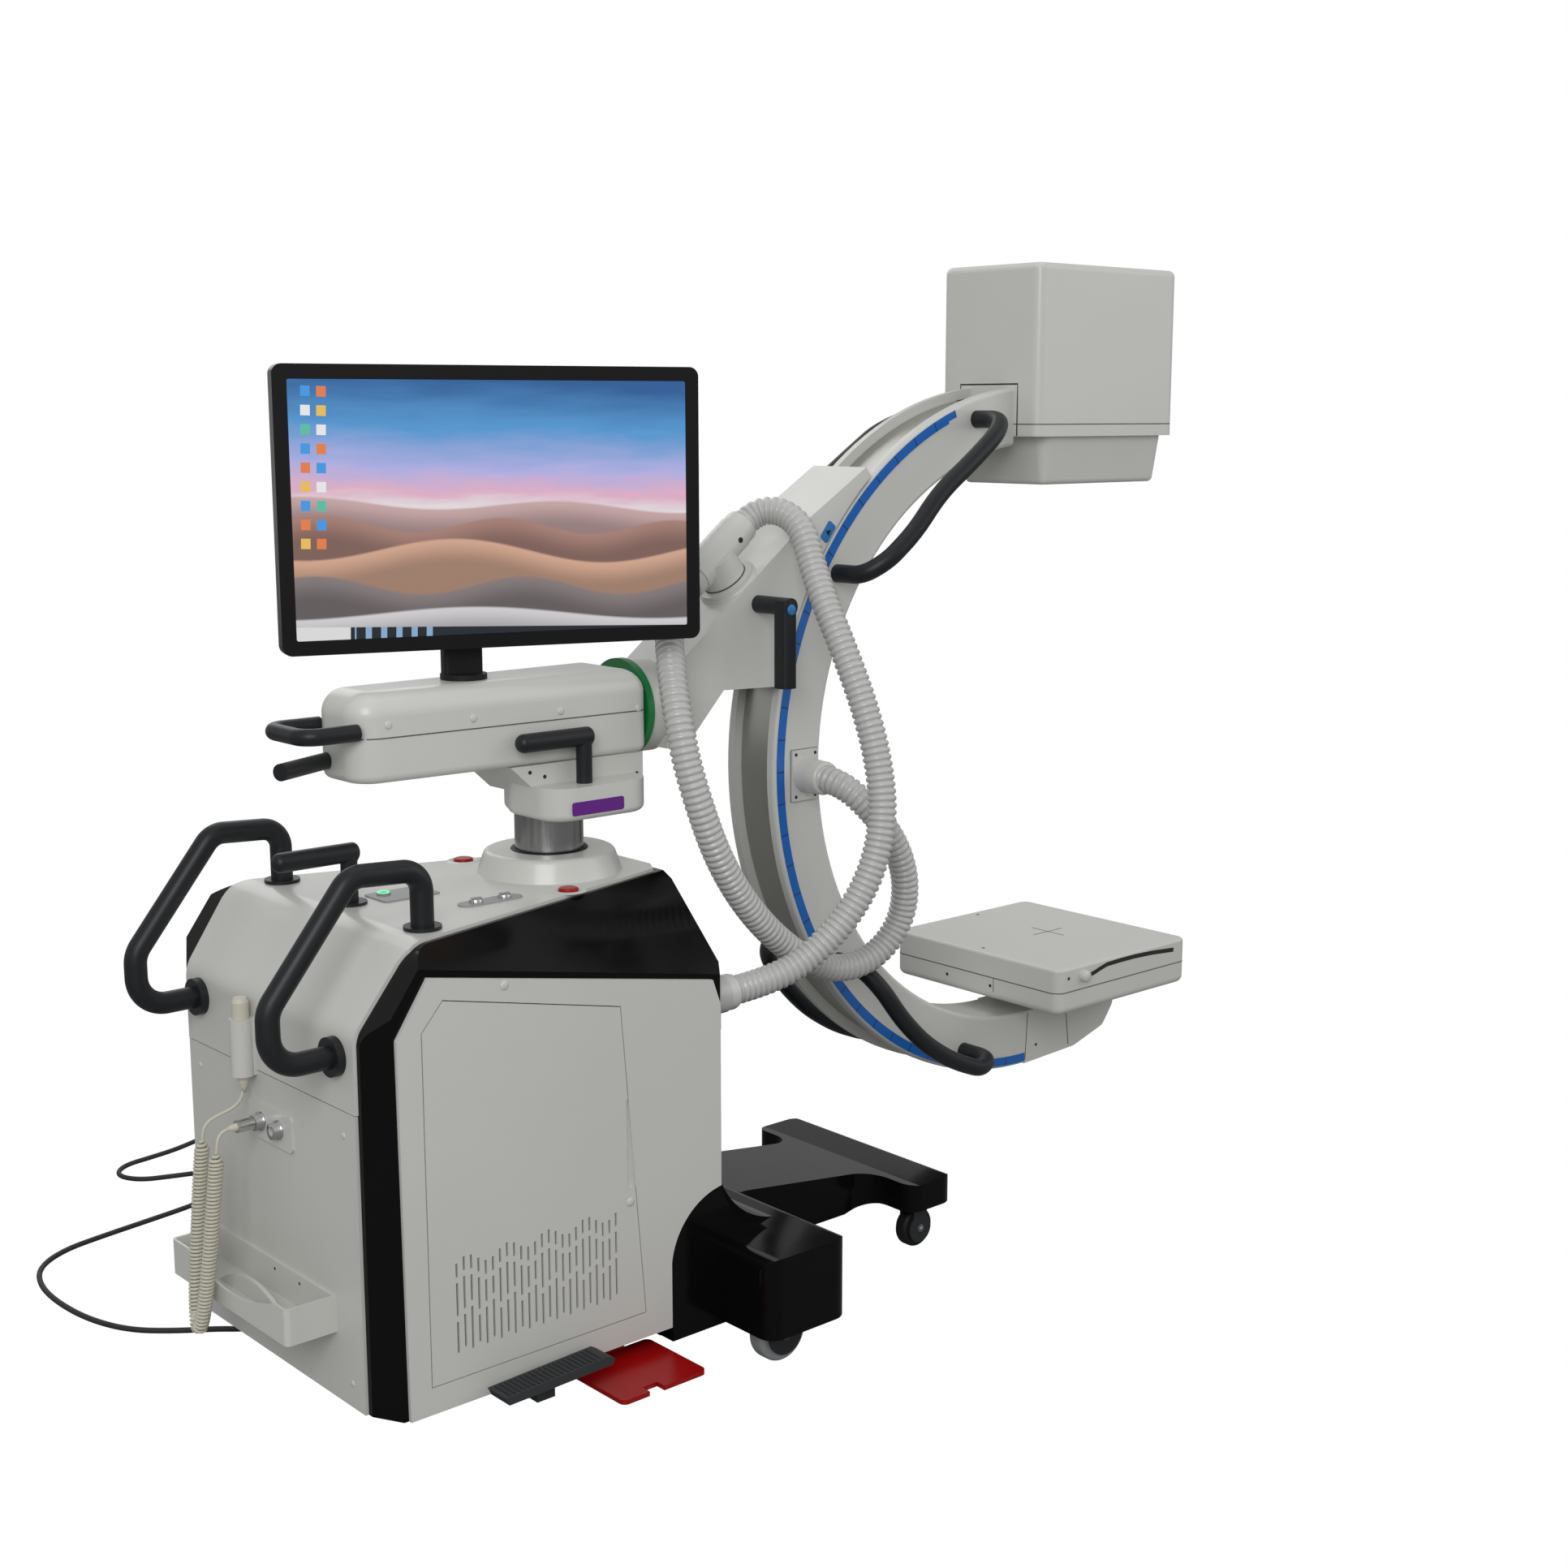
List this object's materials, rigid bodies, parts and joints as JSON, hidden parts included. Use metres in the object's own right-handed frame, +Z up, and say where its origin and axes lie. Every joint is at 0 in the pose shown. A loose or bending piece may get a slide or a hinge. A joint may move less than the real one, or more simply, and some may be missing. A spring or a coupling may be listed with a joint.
{
  "type": "mobile c-arm",
  "caption": "Mobile C-arm: wheeled cabinet, lifting column, sliding and rolling arm and a C that carries an X-ray tube housing above a flat detector.",
  "frame": {"origin": "centre of the machine's footprint box on the floor, free cords left out", "axes": "+X from the cabinet towards the C, +Y to the machine's left, +Z up"},
  "size_m": [1.932, 1.5641, 1.664],
  "materials": {
    "gloss_white": "gloss white painted plastic",
    "white_metal": "white painted metal",
    "gloss_black": "gloss black plastic",
    "black_plastic": "matt black plastic",
    "grey_plastic": "grey plastic",
    "light_grey": "light grey plastic",
    "green_plastic": "green plastic",
    "red_plastic": "red plastic",
    "blue_plastic": "blue film",
    "steel": "brushed steel",
    "chrome": "polished chrome",
    "grey_rubber": "grey polyurethane tread",
    "black_rubber": "black rubber",
    "hose_grey": "grey hose sheath",
    "cord_cream": "cream cord sheath",
    "charcoal": "charcoal coated grip",
    "screen": "display glass"
  },
  "bodies": {
    "chassis": {"cabinet_body": "gloss_black", "top_cover": "gloss_white", "rear_panel": "gloss_white", "side_panel_right": "gloss_white", "side_panel_left": "gloss_white", "base_cover": "gloss_black", "push_rail_right": "charcoal", "push_rail_left": "charcoal", "deck_controls": "grey_plastic", "stop_buttons": "red_plastic", "rear_tray": "gloss_white", "connector_plate": "gloss_white", "switch_plug": "black_plastic", "switch_cradle": "cord_cream", "hand_switch": "cord_cream", "foot_pedal": "charcoal", "lock_plate": "red_plastic", "cabinet_gland": "light_grey", "hose_cabinet": "hose_grey", "curly_cord": "cord_cream", "switch_leads": "cord_cream", "mains_gland": "black_plastic", "mains_cord": "black_rubber", "mains_plug": "black_plastic"},
    "door": {"service_door": "gloss_white"},
    "lever": {"steering_lever": "charcoal"},
    "bogie": {"steering_bogie": "steel"},
    "rear_wheel_right_body": {"rear_wheel_right": "grey_rubber"},
    "rear_wheel_left_body": {"rear_wheel_left": "grey_rubber"},
    "main_fork_right": {"castor_fork_main_right": "black_plastic"},
    "main_fork_left": {"castor_fork_main_left": "black_plastic"},
    "main_wheel_right": {"castor_wheel_main_right": "grey_rubber"},
    "main_wheel_left": {"castor_wheel_main_left": "grey_rubber"},
    "front_fork_right": {"castor_fork_front_right": "black_plastic"},
    "front_fork_left": {"castor_fork_front_left": "black_plastic"},
    "front_wheel_right": {"castor_wheel_front_right": "grey_rubber"},
    "front_wheel_left": {"castor_wheel_front_left": "grey_rubber"},
    "column": {"lift_column": "chrome"},
    "head": {"column_head": "gloss_white", "arm_housing": "gloss_white", "head_lever": "charcoal", "rear_grip": "charcoal"},
    "monitor": {"monitor_neck": "gloss_black", "monitor_shell": "black_plastic", "monitor_screen": "screen"},
    "slide": {"slide_arm": "gloss_white", "angle_scale": "green_plastic"},
    "crank": {"crank_arm": "white_metal", "brake_lever": "charcoal", "hose_swivel": "light_grey"},
    "c_arm": {"c_profile": "white_metal", "c_track": "steel", "scale_strips": "blue_plastic", "tube_housing": "gloss_white", "collimator_skirt": "gloss_white", "detector": "gloss_white", "detector_bracket": "gloss_white", "grab_rails": "charcoal", "c_gland": "light_grey", "hose_c": "hose_grey"}
  },
  "joints": [
    {"name": "door_hinge", "type": "hinge", "parent": "chassis", "child": "door", "pos_m": [-0.7845, -0.2945, 0.38], "axis": [0, 0, -1], "range_deg": [0, 105]},
    {"name": "rear_steering", "type": "hinge", "parent": "chassis", "child": "bogie", "pos_m": [-0.629, 0, 0.14], "axis": [0, 0, 1], "range_deg": [-90, 90]},
    {"name": "steering_lever_turn", "type": "hinge", "parent": "chassis", "child": "lever", "pos_m": [-0.714, 0, 0.726], "axis": [0, 0, 1], "range_deg": [-90, 90]},
    {"name": "rear_wheel_right_spin", "type": "hinge", "parent": "bogie", "child": "rear_wheel_right_body", "pos_m": [-0.629, -0.062, 0.05], "axis": [0, 1, 0], "continuous": true},
    {"name": "rear_wheel_left_spin", "type": "hinge", "parent": "bogie", "child": "rear_wheel_left_body", "pos_m": [-0.629, 0.062, 0.05], "axis": [0, 1, 0], "continuous": true},
    {"name": "main_swivel_right", "type": "hinge", "parent": "chassis", "child": "main_fork_right", "pos_m": [-0.194, -0.336, 0.112], "axis": [0, 0, 1], "continuous": true},
    {"name": "main_wheel_right_spin", "type": "hinge", "parent": "main_fork_right", "child": "main_wheel_right", "pos_m": [-0.206, -0.336, 0.045], "axis": [0, 1, 0], "continuous": true},
    {"name": "main_swivel_left", "type": "hinge", "parent": "chassis", "child": "main_fork_left", "pos_m": [-0.194, 0.336, 0.112], "axis": [0, 0, 1], "continuous": true},
    {"name": "main_wheel_left_spin", "type": "hinge", "parent": "main_fork_left", "child": "main_wheel_left", "pos_m": [-0.206, 0.336, 0.045], "axis": [0, 1, 0], "continuous": true},
    {"name": "front_swivel_right", "type": "hinge", "parent": "chassis", "child": "front_fork_right", "pos_m": [0.27, -0.163, 0.075], "axis": [0, 0, 1], "continuous": true},
    {"name": "front_wheel_right_spin", "type": "hinge", "parent": "front_fork_right", "child": "front_wheel_right", "pos_m": [0.26, -0.163, 0.034], "axis": [0, 1, 0], "continuous": true},
    {"name": "front_swivel_left", "type": "hinge", "parent": "chassis", "child": "front_fork_left", "pos_m": [0.27, 0.163, 0.075], "axis": [0, 0, 1], "continuous": true},
    {"name": "front_wheel_left_spin", "type": "hinge", "parent": "front_fork_left", "child": "front_wheel_left", "pos_m": [0.26, 0.163, 0.034], "axis": [0, 1, 0], "continuous": true},
    {"name": "column_lift", "type": "slide", "parent": "chassis", "child": "column", "axis": [0, 0, 1], "range_m": [0, 0.4], "deforming": ["hose_cabinet"]},
    {"name": "head_swing", "type": "hinge", "parent": "column", "child": "head", "pos_m": [-0.37, 0, 0.822], "axis": [0, 0, 1], "range_deg": [-12.5, 12.5]},
    {"name": "monitor_turn", "type": "hinge", "parent": "head", "child": "monitor", "pos_m": [-0.515, 0, 1.03], "axis": [0, 0, 1], "range_deg": [-60, 60]},
    {"name": "arm_slide", "type": "slide", "parent": "head", "child": "slide", "axis": [1, 0, 0], "range_m": [0, 0.2]},
    {"name": "crank_roll", "type": "hinge", "parent": "slide", "child": "crank", "pos_m": [-0.2227, 0, 0.962], "axis": [1, 0, 0], "range_deg": [-180, 180]},
    {"name": "c_orbit", "type": "hinge", "parent": "crank", "child": "c_arm", "pos_m": [0.653, 0, 0.836], "axis": [0, -1, 0], "range_deg": [-85, 25], "deforming": ["hose_c"]}
  ],
  "couplings": [
    {"joint": "steering_lever_turn", "follows": "rear_steering", "ratio": 1}
  ]
}
